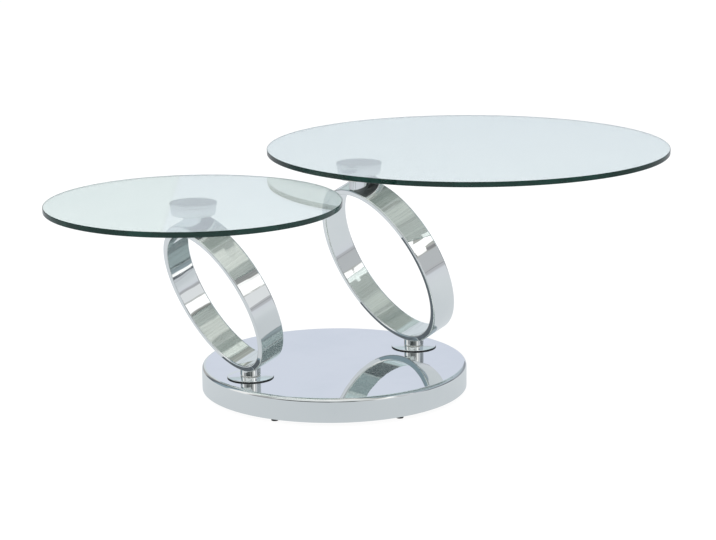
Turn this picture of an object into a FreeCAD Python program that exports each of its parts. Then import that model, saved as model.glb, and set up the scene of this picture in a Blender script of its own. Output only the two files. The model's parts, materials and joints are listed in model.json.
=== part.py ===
import FreeCAD, Part
import math
import os

# Swivel coffee table: two round glass tops on two leaning steel rings, on one round base.
# Each ring swings on a spindle in the base, and each top turns on a hub above its ring.
#
# Frame: +Z up, Z = 0 on the floor, the origin under the middle of the base.
# +X runs from the small tier to the large tier, and both rings lean towards -X.
# Lengths are millimetres, angles are degrees.

V = FreeCAD.Vector
Z_AXIS = V(0, 0, 1)
Y_AXIS = V(0, 1, 0)
FULL_TURN = 360.0

# ---------------------------------------------------------------- driving dimensions

# Base
base_diameter = 511.0
base_height = 45.0
base_edge_radius = 7.0
shell_sheet = 1.5
ballast_thickness = 14.0
ballast_edge = 1.0
ballast_pocket_diameter = 40.0

# Screws that hold the ballast plate to the core
ballast_screw_count = 6
ballast_screw_circle = 220.0
ballast_screw_diameter = 6.0
ballast_screw_head = 12.0
ballast_screw_length = 26.0

# Feet
foot_count = 6
foot_first_angle = 28.5
foot_inset = 25.0
foot_height = 10.0
foot_pad_diameter = 14.0
foot_pad_height = 5.5
foot_pad_taper = 1.0
foot_pad_chamfer = 1.0
foot_hex = 10.0
foot_stud_diameter = 6.0
foot_stud_in_pad = 6.5
foot_stud_in_plate = 12.0
foot_stud_chamfer = 0.8
foot_gap = 0.5

# Spindles, one under each ring
post_spacing = 376.0
swing_each_way = 60.0
flange_diameter = 88.0
flange_thickness = 4.0
flange_seat_margin = 2.0
flange_shoulder_diameter = 66.0
flange_shoulder_drop = 0.5
flange_dome_radius = 80.0
flange_rim_height = 2.3
flange_edge_radius = 1.6
thrust_washer_thickness = 1.2
thrust_washer_inset = 0.8
spindle_diameter = 12.0
spindle_top_wall = 7.0
spindle_end_chamfer = 0.8
bush_wall = 3.0
bush_collar_diameter = 30.0
bush_collar_thickness = 2.0
lower_washer_diameter = 30.0
lower_washer_thickness = 2.0
disc_spring_diameter = 26.0
disc_spring_sheet = 1.2
disc_spring_height = 2.0
lock_nut_hex = 18.0
lock_nut_height = 7.0
lock_nut_collar = 2.0
lock_nut_collar_inset = 1.0
stop_pin_diameter = 4.0
stop_pin_in_flange = 3.5
stop_groove_depth = 3.5
stop_pin_reach = 3.0

# Posts and rings
post_diameter = 38.5
post_edge = 0.8
ring_rise = 27.0
ring_lean = 22.0
ring_width = 52.0
ring_wall = 12.0
ring_edge_radius = 2.5
small_ring_diameter = 300.0
large_ring_diameter = 338.0

# Hubs
neck_rise = 12.0
neck_bore_depth = 6.0
cup_height = 17.0
cup_top_diameter = 83.0
cup_bottom_diameter = 76.0
cup_rim_height = 5.0
cup_rim_chamfer = 0.8
cup_side_bulge = 1.0
slip_ring_thickness = 1.0
slip_ring_inset = 2.0
mount_disc_diameter = 87.0
mount_disc_thickness = 4.0
mount_disc_chamfer = 0.6
spigot_diameter = 20.0
spigot_chamfer = 1.0
hub_bush_wall = 2.5
set_screw_diameter = 6.0
set_screw_sink = 4.3
set_screw_level = 7.5
spigot_groove_depth = 1.6
bond_film_thickness = 0.5
bond_film_inset = 1.0

# Glass
small_glass_diameter = 542.0
large_glass_diameter = 800.0
glass_thickness = 10.0
glass_arris = 1.0
large_glass_offset = 278.5
large_glass_turn = 5.3

# Clearances
turning_fit = 0.05
open_clearance = 0.3
press_gap = 0.02
shell_fit = 0.2
stop_clearance = 0.2

# ---------------------------------------------------------------- levels and radii that follow

base_bottom = foot_height
base_top = base_bottom + base_height
ballast_top = base_bottom + ballast_thickness
core_top = base_top - shell_sheet
inner_radius = base_diameter / 2 - shell_sheet - shell_fit

flange_top = base_top + flange_thickness
washer_top = flange_top + thrust_washer_thickness
post_radius = post_diameter / 2
spindle_radius = spindle_diameter / 2
bush_bore = spindle_radius + turning_fit
bush_radius = bush_bore + bush_wall
spindle_top = base_top + ring_rise - spindle_top_wall
stack_washer_top = ballast_top - bush_collar_thickness
stack_spring_top = stack_washer_top - lower_washer_thickness
stack_nut_top = stack_spring_top - disc_spring_height
stack_nut_bottom = stack_nut_top - lock_nut_height
stop_circle = (bush_radius + post_radius) / 2

spigot_radius = spigot_diameter / 2
hub_bush_bore = spigot_radius + turning_fit
hub_bush_radius = hub_bush_bore + hub_bush_wall
set_screw_radius = set_screw_diameter / 2


# ---------------------------------------------------------------- shapes used again and again

def cylinder(radius, z_low, z_high, x=0.0, y=0.0):
    return Part.makeCylinder(radius, z_high - z_low, V(x, y, z_low), Z_AXIS)


def washer(outer, bore, z_low, z_high, x=0.0):
    return cylinder(outer, z_low, z_high, x).cut(cylinder(bore, z_low - 1, z_high + 1, x))


def unit(start, end):
    step = end.sub(start)
    return step.multiply(1.0 / step.Length)


def outline(corners):
    """Closed wire in the XZ plane through (radius, height, rounding) corners."""
    points = [V(r, 0, z) for r, z, _ in corners]
    edges = []
    starts = []
    ends = []
    for i, (_, _, rounding) in enumerate(corners):
        corner = points[i]
        back = unit(corner, points[i - 1])
        ahead = unit(corner, points[(i + 1) % len(points)])
        if rounding <= 0:
            starts.append(corner)
            ends.append(corner)
            edges.append(None)
            continue
        half = back.getAngle(ahead) / 2
        reach = rounding / math.tan(half)
        middle = back.add(ahead)
        middle = middle.multiply(1.0 / middle.Length)
        tip = corner.add(middle * (rounding / math.sin(half) - rounding))
        starts.append(corner.add(back * reach))
        ends.append(corner.add(ahead * reach))
        edges.append(Part.Arc(starts[-1], tip, ends[-1]).toShape())
    pieces = []
    for i, arc in enumerate(edges):
        if arc is not None:
            pieces.append(arc)
        following = starts[(i + 1) % len(points)]
        if ends[i].distanceToPoint(following) > 1e-6:
            pieces.append(Part.makeLine(ends[i], following))
    return Part.Wire(pieces)


def turned(corners, x=0.0):
    """Solid of revolution about the vertical axis through x, from its half outline."""
    solid = Part.Face(outline(corners)).revolve(V(0, 0, 0), Z_AXIS, FULL_TURN)
    solid.translate(V(x, 0, 0))
    return solid


def hexagon(across_flats, z_low, z_high):
    corner = across_flats / math.sqrt(3)
    points = [
        V(corner * math.cos(math.radians(60 * k)), corner * math.sin(math.radians(60 * k)), z_low)
        for k in range(7)
    ]
    return Part.Face(Part.makePolygon(points)).extrude(V(0, 0, z_high - z_low))


def around(shape, count, circle_radius, first_angle=0.0):
    """Copies of a shape that stands on the Z axis, spread evenly round a circle."""
    copies = []
    for k in range(count):
        copy = shape.copy()
        copy.translate(V(circle_radius, 0, 0))
        copy.rotate(V(0, 0, 0), Z_AXIS, first_angle + k * FULL_TURN / count)
        copies.append(copy)
    return copies


def cut_all(shape, tools):
    for tool in tools:
        shape = shape.cut(tool)
    return shape


def save(name, shape):
    shape.exportStep("parts/" + name + ".step")


# ---------------------------------------------------------------- base

def ballast_screw():
    head = ballast_screw_head / 2
    shank = ballast_screw_diameter / 2
    return turned([
        (0, base_bottom, 0),
        (head, base_bottom, 0),
        (shank, base_bottom + head - shank, 0),
        (shank, base_bottom + ballast_screw_length - shank, 0),
        (0, base_bottom + ballast_screw_length, 0),
    ])


def ballast_screw_hole():
    head = ballast_screw_head / 2 + press_gap
    shank = ballast_screw_diameter / 2 + press_gap
    return turned([
        (0, base_bottom, 0),
        (head, base_bottom, 0),
        (shank, base_bottom + head - shank, 0),
        (shank, base_bottom + ballast_screw_length + open_clearance, 0),
        (0, base_bottom + ballast_screw_length + open_clearance, 0),
    ])


def foot_pad():
    pad_radius = foot_pad_diameter / 2
    pad = turned([
        (0, 0, 0),
        (pad_radius - foot_pad_chamfer, 0, 0),
        (pad_radius, foot_pad_chamfer, 0),
        (pad_radius - foot_pad_taper, foot_pad_height, 0),
        (0, foot_pad_height, 0),
    ])
    grip = hexagon(foot_hex, foot_pad_height, foot_height - foot_gap)
    socket_bottom = foot_height - foot_gap - foot_stud_in_pad
    socket = cylinder(foot_stud_diameter / 2 + press_gap, socket_bottom, foot_height)
    return pad.fuse(grip).removeSplitter().cut(socket)


def foot_stud():
    radius = foot_stud_diameter / 2
    low = foot_height - foot_gap - foot_stud_in_pad
    high = base_bottom + foot_stud_in_plate
    return turned([
        (0, low, 0),
        (radius, low, 0),
        (radius, high - foot_stud_chamfer, 0),
        (radius - foot_stud_chamfer, high, 0),
        (0, high, 0),
    ])


def base():
    radius = base_diameter / 2
    foot_circle = radius - foot_inset
    post_places = [-post_spacing / 2, post_spacing / 2]
    bush_holes = [cylinder(bush_radius + press_gap, base_bottom, base_top + 1, x) for x in post_places]

    shell = turned([
        (0, core_top, 0),
        (radius - shell_sheet, core_top, base_edge_radius - shell_sheet),
        (radius - shell_sheet, base_bottom, 0),
        (radius, base_bottom, 0),
        (radius, base_top, base_edge_radius),
        (0, base_top, 0),
    ])
    save("base_shell", cut_all(shell, bush_holes))

    screw_holes = around(ballast_screw_hole(), ballast_screw_count, ballast_screw_circle / 2)
    core = turned([
        (0, ballast_top, 0),
        (inner_radius, ballast_top, 0),
        (inner_radius, core_top - base_edge_radius, 0),
        (inner_radius - base_edge_radius, core_top, 0),
        (0, core_top, 0),
    ])
    save("base_core", cut_all(core, bush_holes + screw_holes))

    plate = turned([
        (0, base_bottom, 0),
        (inner_radius - ballast_edge, base_bottom, 0),
        (inner_radius, base_bottom + ballast_edge, 0),
        (inner_radius, ballast_top, 0),
        (0, ballast_top, 0),
    ])
    pockets = [cylinder(ballast_pocket_diameter / 2, base_bottom - 1, ballast_top + 1, x) for x in post_places]
    stud_hole = cylinder(foot_stud_diameter / 2 + press_gap, base_bottom - 1, ballast_top + 1)
    stud_holes = around(stud_hole, foot_count, foot_circle, foot_first_angle)
    save("ballast_plate", cut_all(plate, pockets + stud_holes + screw_holes))

    screws = around(ballast_screw(), ballast_screw_count, ballast_screw_circle / 2)
    save("ballast_screws", Part.makeCompound(screws))
    pads = around(foot_pad(), foot_count, foot_circle, foot_first_angle)
    save("foot_pads", Part.makeCompound(pads))
    studs = around(foot_stud(), foot_count, foot_circle, foot_first_angle)
    save("foot_studs", Part.makeCompound(studs))


# ---------------------------------------------------------------- spindle under a ring

def stop_pin_at(radius, z_low, z_high, x):
    return cylinder(radius, z_low, z_high, x, stop_circle)


def stop_groove(x):
    """Curved groove in the foot post, with round ends, that the stop pin runs in."""
    half_width = stop_pin_diameter / 2 + stop_clearance
    outer = stop_circle + half_width
    inner = stop_circle - half_width
    sweep = 2 * swing_each_way
    middle = V(x, 0, washer_top - 1)
    depth = stop_groove_depth + 1
    groove = Part.makeCylinder(outer, depth, middle, Z_AXIS, sweep)
    groove = groove.cut(Part.makeCylinder(inner, depth, middle, Z_AXIS, FULL_TURN))
    groove.rotate(V(x, 0, 0), Z_AXIS, 90 - swing_each_way)
    for side in (-1, 1):
        end = stop_pin_at(half_width, washer_top - 1, washer_top + stop_groove_depth, x)
        end.rotate(V(x, 0, 0), Z_AXIS, side * swing_each_way)
        groove = groove.fuse(end)
    return groove


def domed_flange(x):
    """Flat seat under the post, then a shallow dome that falls to a thin rounded rim."""
    return turned([
        (bush_radius + press_gap, base_top, 0),
        (flange_diameter / 2, base_top, 0),
        (flange_diameter / 2, base_top + flange_rim_height, flange_edge_radius),
        (flange_shoulder_diameter / 2, flange_top - flange_shoulder_drop, flange_dome_radius),
        (post_radius + flange_seat_margin, flange_top, 0),
        (bush_radius + press_gap, flange_top, 0),
    ], x)


def spindle_set(tier, x):
    pin_bottom = flange_top - stop_pin_in_flange
    pin_top = washer_top + stop_pin_reach
    pin_hole = stop_pin_at(stop_pin_diameter / 2 + press_gap, pin_bottom, pin_top, x)
    save(tier + "_flange", domed_flange(x).cut(pin_hole))
    save(tier + "_stop_pin", stop_pin_at(stop_pin_diameter / 2, pin_bottom, pin_top, x))

    bush = turned([
        (bush_bore, stack_washer_top, 0),
        (bush_collar_diameter / 2, stack_washer_top, 0),
        (bush_collar_diameter / 2, ballast_top, 0),
        (bush_radius, ballast_top, 0),
        (bush_radius, flange_top, 0),
        (bush_bore, flange_top, 0),
    ], x)
    save(tier + "_spindle_bush", bush)

    clear_bore = spindle_radius + open_clearance
    thrust = washer(post_radius - thrust_washer_inset, clear_bore, flange_top, washer_top, x)
    save(tier + "_thrust_washer", thrust.cut(pin_hole))

    low = stack_nut_bottom
    tip = spindle_radius - spindle_end_chamfer
    spindle = turned([
        (0, low, 0),
        (tip, low, 0),
        (spindle_radius, low + spindle_end_chamfer, 0),
        (spindle_radius, spindle_top - spindle_end_chamfer, 0),
        (tip, spindle_top, 0),
        (0, spindle_top, 0),
    ], x)
    save(tier + "_spindle", spindle)

    save(tier + "_lower_washer",
         washer(lower_washer_diameter / 2, clear_bore, stack_spring_top, stack_washer_top, x))

    spring_lift = disc_spring_height - disc_spring_sheet
    spring = turned([
        (clear_bore, stack_nut_top, 0),
        (disc_spring_diameter / 2, stack_nut_top + spring_lift, 0),
        (disc_spring_diameter / 2, stack_spring_top, 0),
        (clear_bore, stack_nut_top + disc_spring_sheet, 0),
    ], x)
    save(tier + "_disc_spring", spring)

    collar_top = stack_nut_bottom + lock_nut_collar
    nut = hexagon(lock_nut_hex, collar_top, stack_nut_top)
    nut = nut.fuse(cylinder(lock_nut_hex / 2 - lock_nut_collar_inset, stack_nut_bottom, collar_top)).removeSplitter()
    nut = nut.cut(cylinder(spindle_radius + press_gap, stack_nut_bottom - 1, stack_nut_top + 1))
    nut.translate(V(x, 0, 0))
    save(tier + "_lock_nut", nut)


# ---------------------------------------------------------------- leaning ring with its posts

def lean(shape, x, radius):
    """Turns a shape made about the Z axis onto the ring's leaning axis."""
    lean_angle = math.radians(ring_lean)
    centre = V(
        x - radius * math.sin(lean_angle),
        0,
        base_top + ring_rise + radius * math.cos(lean_angle),
    )
    shape.rotate(V(0, 0, 0), Y_AXIS, 90 - ring_lean)
    shape.translate(centre)
    return shape


def ring_set(tier, x, ring_diameter):
    radius = ring_diameter / 2
    half_width = ring_width / 2
    band = turned([
        (radius - ring_wall, -half_width, ring_edge_radius),
        (radius, -half_width, ring_edge_radius),
        (radius, half_width, ring_edge_radius),
        (radius - ring_wall, half_width, ring_edge_radius),
    ])
    save(tier + "_ring", lean(band, x, radius))

    rolled_face = lean(cylinder(radius, -ring_width, ring_width), x, radius)
    cope_depth = post_radius + ring_wall
    post = turned([
        (0, washer_top, 0),
        (post_radius - post_edge, washer_top, 0),
        (post_radius, washer_top + post_edge, 0),
        (post_radius, base_top + ring_rise + cope_depth, 0),
        (0, base_top + ring_rise + cope_depth, 0),
    ], x)
    spindle_hole = cylinder(spindle_radius + press_gap, washer_top - 1, spindle_top, x)
    save(tier + "_foot_post", cut_all(post, [rolled_face, spindle_hole, stop_groove(x)]))

    crown_x = x - ring_diameter * math.sin(math.radians(ring_lean))
    crown_z = base_top + ring_rise + ring_diameter * math.cos(math.radians(ring_lean))
    cup_bottom = crown_z + neck_rise
    neck = cylinder(post_radius, crown_z - cope_depth, cup_bottom, crown_x)
    neck_bore = cylinder(hub_bush_radius + press_gap, cup_bottom - neck_bore_depth, cup_bottom + 1, crown_x)
    save(tier + "_neck", cut_all(neck, [rolled_face, neck_bore]))
    return crown_x, cup_bottom


# ---------------------------------------------------------------- hub and glass

def radial_rod(radius, from_centre, to_rim, x, z):
    """Round rod that points along +X, away from the hub's axis."""
    return Part.makeCylinder(radius, to_rim - from_centre, V(x + from_centre, 0, z), V(1, 0, 0))


def hub_set(tier, x, cup_bottom, glass_diameter, offset, turn):
    cup_top = cup_bottom + cup_height
    slip_top = cup_top + slip_ring_thickness
    disc_top = slip_top + mount_disc_thickness
    film_top = disc_top + bond_film_thickness
    glass_top = film_top + glass_thickness
    screw_z = cup_bottom + set_screw_level
    rim_radius = cup_top_diameter / 2

    groove_floor = spigot_radius - spigot_groove_depth
    screw_tip = groove_floor + open_clearance
    screw_end = cup_bottom_diameter / 2 - set_screw_sink
    screw_hole = radial_rod(set_screw_radius + press_gap, screw_tip, rim_radius + 1, x, screw_z)

    foot_of_side = V(cup_bottom_diameter / 2, 0, cup_bottom)
    head_of_side = V(rim_radius, 0, cup_top - cup_rim_height)
    run = unit(foot_of_side, head_of_side)
    outwards = V(run.z, 0, -run.x)
    bulge = foot_of_side.add(head_of_side).multiply(0.5).add(outwards * cup_side_bulge)
    side = Part.Arc(foot_of_side, bulge, head_of_side).toShape()
    cup_points = [
        head_of_side,
        V(rim_radius, 0, cup_top - cup_rim_chamfer),
        V(rim_radius - cup_rim_chamfer, 0, cup_top),
        V(hub_bush_radius + press_gap, 0, cup_top),
        V(hub_bush_radius + press_gap, 0, cup_bottom),
        foot_of_side,
    ]
    cup_wire = Part.Wire([side] + Part.makePolygon(cup_points).Edges)
    cup = Part.Face(cup_wire).revolve(V(0, 0, 0), Z_AXIS, FULL_TURN)
    cup.translate(V(x, 0, 0))
    save(tier + "_hub_cup", cup.cut(screw_hole))

    spigot_bottom = cup_bottom - neck_bore_depth + open_clearance
    bush = washer(hub_bush_radius, hub_bush_bore, cup_bottom - neck_bore_depth, cup_top, x)
    save(tier + "_hub_bush", bush.cut(screw_hole))
    save(tier + "_set_screw", radial_rod(set_screw_radius, screw_tip, screw_end, x, screw_z))
    save(tier + "_slip_ring",
         washer(rim_radius - slip_ring_inset, hub_bush_radius, cup_top, slip_top, x))

    disc_radius = mount_disc_diameter / 2
    groove_half = set_screw_radius + open_clearance
    disc = turned([
        (0, spigot_bottom, 0),
        (spigot_radius - spigot_chamfer, spigot_bottom, 0),
        (spigot_radius, spigot_bottom + spigot_chamfer, 0),
        (spigot_radius, screw_z - groove_half, 0),
        (groove_floor, screw_z - groove_half, 0),
        (groove_floor, screw_z + groove_half, 0),
        (spigot_radius, screw_z + groove_half, 0),
        (spigot_radius, slip_top, 0),
        (disc_radius - mount_disc_chamfer, slip_top, 0),
        (disc_radius, slip_top + mount_disc_chamfer, 0),
        (disc_radius, disc_top - mount_disc_chamfer, 0),
        (disc_radius - mount_disc_chamfer, disc_top, 0),
        (0, disc_top, 0),
    ], x)
    save(tier + "_mount_disc", disc)
    save(tier + "_bond_film", cylinder(disc_radius - bond_film_inset, disc_top, film_top, x))

    radius = glass_diameter / 2
    glass = turned([
        (0, film_top, 0),
        (radius - glass_arris, film_top, 0),
        (radius, film_top + glass_arris, 0),
        (radius, glass_top - glass_arris, 0),
        (radius - glass_arris, glass_top, 0),
        (0, glass_top, 0),
    ])
    angle = math.radians(turn)
    glass.translate(V(x + offset * math.cos(angle), offset * math.sin(angle), 0))
    save(tier + "_glass_top", glass)


# ---------------------------------------------------------------- the table

os.makedirs("parts", exist_ok=True)
base()
tiers = [
    ("small", -post_spacing / 2, small_ring_diameter, small_glass_diameter, 0.0, 0.0),
    ("large", post_spacing / 2, large_ring_diameter, large_glass_diameter,
     large_glass_offset, large_glass_turn),
]
for tier, x, ring_diameter, glass_diameter, offset, turn in tiers:
    spindle_set(tier, x)
    hub_x, hub_bottom = ring_set(tier, x, ring_diameter)
    hub_set(tier, hub_x, hub_bottom, glass_diameter, offset, turn)
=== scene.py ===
import json
import math

import bmesh
import bpy
from mathutils import Matrix, Vector


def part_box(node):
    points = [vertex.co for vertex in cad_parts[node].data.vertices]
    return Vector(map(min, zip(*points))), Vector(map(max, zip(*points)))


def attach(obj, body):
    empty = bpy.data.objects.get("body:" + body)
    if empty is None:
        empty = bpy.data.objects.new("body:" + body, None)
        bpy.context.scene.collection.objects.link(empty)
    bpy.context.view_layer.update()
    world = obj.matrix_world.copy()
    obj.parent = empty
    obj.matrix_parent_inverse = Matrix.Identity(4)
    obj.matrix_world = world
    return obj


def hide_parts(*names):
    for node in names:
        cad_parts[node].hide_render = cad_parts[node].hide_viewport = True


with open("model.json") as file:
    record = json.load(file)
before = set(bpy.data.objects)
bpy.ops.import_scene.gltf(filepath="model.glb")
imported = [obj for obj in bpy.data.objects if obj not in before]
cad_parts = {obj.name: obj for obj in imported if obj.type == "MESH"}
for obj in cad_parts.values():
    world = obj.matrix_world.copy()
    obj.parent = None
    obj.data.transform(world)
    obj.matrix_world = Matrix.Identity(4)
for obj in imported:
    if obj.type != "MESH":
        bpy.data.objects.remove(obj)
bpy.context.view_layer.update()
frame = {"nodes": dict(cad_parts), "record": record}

scene = bpy.context.scene
print("frame loaded:", len(frame["nodes"]), "nodes")


# ---- places read from the frame

def middle(node):
    low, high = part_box(node)
    return (Vector(low) + Vector(high)) / 2


def levels(node):
    low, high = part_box(node)
    return low[2], high[2]


def halfWidth(node, axis):
    low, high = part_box(node)
    return (high[axis] - low[axis]) / 2


# ---- small helpers for node trees

def addNode(tree, kind, place, inputs=None, **settings):
    node = tree.nodes.new(kind)
    node.location = place
    for key, value in settings.items():
        setattr(node, key, value)
    for key, value in (inputs or {}).items():
        node.inputs[key].default_value = value
    return node


def mapRange(tree, source, place, low, high, newLow, newHigh, smooth=False):
    node = addNode(tree, "ShaderNodeMapRange", place, {
        "From Min": low, "From Max": high, "To Min": newLow, "To Max": newHigh})
    node.interpolation_type = "SMOOTHSTEP" if smooth else "LINEAR"
    tree.links.new(source, node.inputs["Value"])
    return node.outputs["Result"]


def mathNode(tree, operation, place, first, second=None):
    node = addNode(tree, "ShaderNodeMath", place, operation=operation)
    for socket, value in zip(node.inputs, (first, second)):
        if isinstance(value, (int, float)):
            socket.default_value = value
        elif value is not None:
            tree.links.new(value, socket)
    return node.outputs[0]


def blendColour(tree, place, factor, first, second):
    node = addNode(tree, "ShaderNodeMix", place, data_type="RGBA")
    for socket, value in ((node.inputs[0], factor), (node.inputs[6], first), (node.inputs[7], second)):
        if isinstance(value, bpy.types.NodeSocket):
            tree.links.new(value, socket)
        else:
            socket.default_value = value
    return node.outputs[2]


def colourRamp(tree, factor, place, stops):
    node = addNode(tree, "ShaderNodeValToRGB", place)
    points = node.color_ramp.elements
    while len(points) < len(stops):
        points.new(1.0)
    for point, (position, colour) in zip(points, stops):
        point.position = position
        point.color = (*colour, 1.0)
    tree.links.new(factor, node.inputs[0])
    return node.outputs[0]


def emptyTree(owner):
    owner.use_nodes = True
    owner.node_tree.nodes.clear()
    return owner.node_tree


def newMaterial(name):
    material = bpy.data.materials.new(name)
    tree = emptyTree(material)
    output = addNode(tree, "ShaderNodeOutputMaterial", (900, 0))
    shader = addNode(tree, "ShaderNodeBsdfPrincipled", (600, 0))
    tree.links.new(shader.outputs[0], output.inputs["Surface"])
    return material, tree, shader, output


# ---- finishes

marks = {
    "scales": ("Smudge Scale", "Hairline Scale", "Hairline Stretch"),
    "smudge": {"Detail": 5.0, "Roughness": 0.6},
    "smudgeEdges": (0.42, 0.72),
    "hairline": {"Detail": 3.0, "Roughness": 0.7},
    "hairlineEdges": (0.5, 0.7),
    "swell": {"Scale": 16.0, "Detail": 0.5},
}


# handling marks: cloudy smudges, fine hairlines and a slow swell, shared by every finish
def makeHandlingMarks():
    group = bpy.data.node_groups.new("handlingMarks", "ShaderNodeTree")
    ports = group.interface
    ports.new_socket("Vector", in_out="INPUT", socket_type="NodeSocketVector")
    for name in marks["scales"]:
        ports.new_socket(name, in_out="INPUT", socket_type="NodeSocketFloat")
    for name in ("Smudge", "Hairline", "Swell"):
        ports.new_socket(name, in_out="OUTPUT", socket_type="NodeSocketFloat")
    start = addNode(group, "NodeGroupInput", (-900, 0))
    end = addNode(group, "NodeGroupOutput", (500, 0))

    smudge = addNode(group, "ShaderNodeTexNoise", (-500, 200), marks["smudge"])
    group.links.new(start.outputs["Vector"], smudge.inputs["Vector"])
    group.links.new(start.outputs["Smudge Scale"], smudge.inputs["Scale"])
    cloud = mapRange(group, smudge.outputs[0], (-250, 200), *marks["smudgeEdges"], 0.0, 1.0, smooth=True)
    group.links.new(cloud, end.inputs["Smudge"])

    squeeze = addNode(group, "ShaderNodeCombineXYZ", (-700, -150), {"Y": 1.0, "Z": 1.0})
    group.links.new(start.outputs["Hairline Stretch"], squeeze.inputs["X"])
    stretched = addNode(group, "ShaderNodeVectorMath", (-500, -150), operation="MULTIPLY")
    group.links.new(start.outputs["Vector"], stretched.inputs[0])
    group.links.new(squeeze.outputs[0], stretched.inputs[1])
    hair = addNode(group, "ShaderNodeTexNoise", (-300, -150), marks["hairline"])
    group.links.new(stretched.outputs[0], hair.inputs["Vector"])
    group.links.new(start.outputs["Hairline Scale"], hair.inputs["Scale"])
    line = mapRange(group, hair.outputs[0], (-80, -150), *marks["hairlineEdges"], 0.0, 1.0)
    group.links.new(line, end.inputs["Hairline"])

    swell = addNode(group, "ShaderNodeTexNoise", (-300, -420), marks["swell"])
    group.links.new(start.outputs["Vector"], swell.inputs["Vector"])
    group.links.new(swell.outputs[0], end.inputs["Swell"])
    return group


handlingMarks = makeHandlingMarks()


def placeMarks(tree, *scales):
    place = addNode(tree, "ShaderNodeTexCoord", (-900, 0))
    wear = addNode(tree, "ShaderNodeGroup", (-650, 0), dict(zip(marks["scales"], scales)),
                   node_tree=handlingMarks)
    tree.links.new(place.outputs["Object"], wear.inputs["Vector"])
    return wear


polish = {
    "marks": (6.0, 90.0, 10.0),
    "colour": (0.87, 0.885, 0.88, 1.0),
    "smudged": (0.83, 0.85, 0.85, 1.0),
    "roughness": 0.015,
    "smudgedRoughness": 0.04,
    "sheetSwell": 0.00008,      # metres of waviness left by the buffing wheel
    "bandSwell": 0.0011,
}


def makePolishedSteel(name, swell):
    material, tree, shader, _ = newMaterial(name)
    wear = placeMarks(tree, *polish["marks"])
    colour = blendColour(tree, (-300, 200), wear.outputs["Smudge"], polish["colour"], polish["smudged"])
    tree.links.new(colour, shader.inputs["Base Color"])
    sheen = mapRange(tree, wear.outputs["Smudge"], (-300, 0), 0.0, 1.0,
                     polish["roughness"], polish["smudgedRoughness"])
    tree.links.new(sheen, shader.inputs["Roughness"])
    shader.inputs["Metallic"].default_value = 1.0
    bump = addNode(tree, "ShaderNodeBump", (200, -300), {"Strength": 1.0, "Distance": swell})
    tree.links.new(wear.outputs["Swell"], bump.inputs["Height"])
    tree.links.new(bump.outputs[0], shader.inputs["Normal"])
    return material


satin = {
    "colour": (0.93, 0.92, 0.89, 1.0),
    "worn": (0.86, 0.86, 0.84, 1.0),
    "marks": (30.0, 120.0, 1.0),
    "circles": {"Scale": 45.0, "Distortion": 0.6, "Detail": 2.0, "Detail Scale": 3.0},
    "roughness": (0.2, 0.32),
    "groove": 0.00003,
    "grooveStrength": 0.4,
}


# turned steel: fine circles round the hub's own axis
def makeTurnedSteel(name, centre):
    material, tree, shader, _ = newMaterial(name)
    place = addNode(tree, "ShaderNodeTexCoord", (-1100, 200))
    onAxis = addNode(tree, "ShaderNodeMapping", (-900, 200), {"Location": (-centre.x, -centre.y, 0.0)})
    tree.links.new(place.outputs["Object"], onAxis.inputs["Vector"])
    circles = addNode(tree, "ShaderNodeTexWave", (-650, 200), satin["circles"],
                      wave_type="RINGS", rings_direction="Z")
    tree.links.new(onAxis.outputs[0], circles.inputs["Vector"])
    wear = placeMarks(tree, *satin["marks"])
    colour = blendColour(tree, (-300, 200), wear.outputs["Smudge"], satin["colour"], satin["worn"])
    tree.links.new(colour, shader.inputs["Base Color"])
    sheen = mapRange(tree, circles.outputs["Fac"], (-300, 0), 0.0, 1.0, *satin["roughness"])
    tree.links.new(sheen, shader.inputs["Roughness"])
    shader.inputs["Metallic"].default_value = 1.0
    bump = addNode(tree, "ShaderNodeBump", (200, -300), {
        "Strength": satin["grooveStrength"], "Distance": satin["groove"]})
    tree.links.new(circles.outputs["Fac"], bump.inputs["Height"])
    tree.links.new(bump.outputs[0], shader.inputs["Normal"])
    return material


grainStrength = 0.5


# one call for each plain finish: two colours in a cloud, a roughness range and a grain
def makeCloudedFinish(name, first, second, cloudScale, roughness, grain, metallic=0.0, stretch=1.0):
    material, tree, shader, _ = newMaterial(name)
    wear = placeMarks(tree, cloudScale, grain["scale"], stretch)
    colour = blendColour(tree, (-300, 200), wear.outputs["Smudge"], (*first, 1.0), (*second, 1.0))
    tree.links.new(colour, shader.inputs["Base Color"])
    sheen = mapRange(tree, wear.outputs["Hairline"], (-300, 0), 0.0, 1.0, *roughness)
    tree.links.new(sheen, shader.inputs["Roughness"])
    shader.inputs["Metallic"].default_value = metallic
    bump = addNode(tree, "ShaderNodeBump", (200, -300), {
        "Strength": grainStrength, "Distance": grain["depth"]})
    tree.links.new(wear.outputs["Hairline"], bump.inputs["Height"])
    tree.links.new(bump.outputs[0], shader.inputs["Normal"])
    return material


glassLook = {
    "marks": (5.0, 40.0, 1.0),
    "face": (0.985, 0.995, 0.99, 1.0),
    "smudged": (0.965, 0.98, 0.975, 1.0),
    "ior": 1.52,
    "body": (0.3, 0.8, 0.6, 1.0),      # the green of common float glass
    "bodyDensity": 12.0,
    "rimMarks": (14.0, 120.0, 1.0),
    "rimRoughness": (0.03, 0.09),
    "rim": (0.004, 0.026, 0.019, 1.0),    # the long way through the glass, seen edge on
    "rimWorn": (0.008, 0.05, 0.038, 1.0),
    "rimInside": (0.8, 0.9, 0.87, 1.0),     # the same rim, seen from within the sheet
    "rimTransmission": 0.12,
    "rimSpecular": 0.35,
    "clear": 0.88,      # the rest is dust and finger film, which scatters
}


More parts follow.
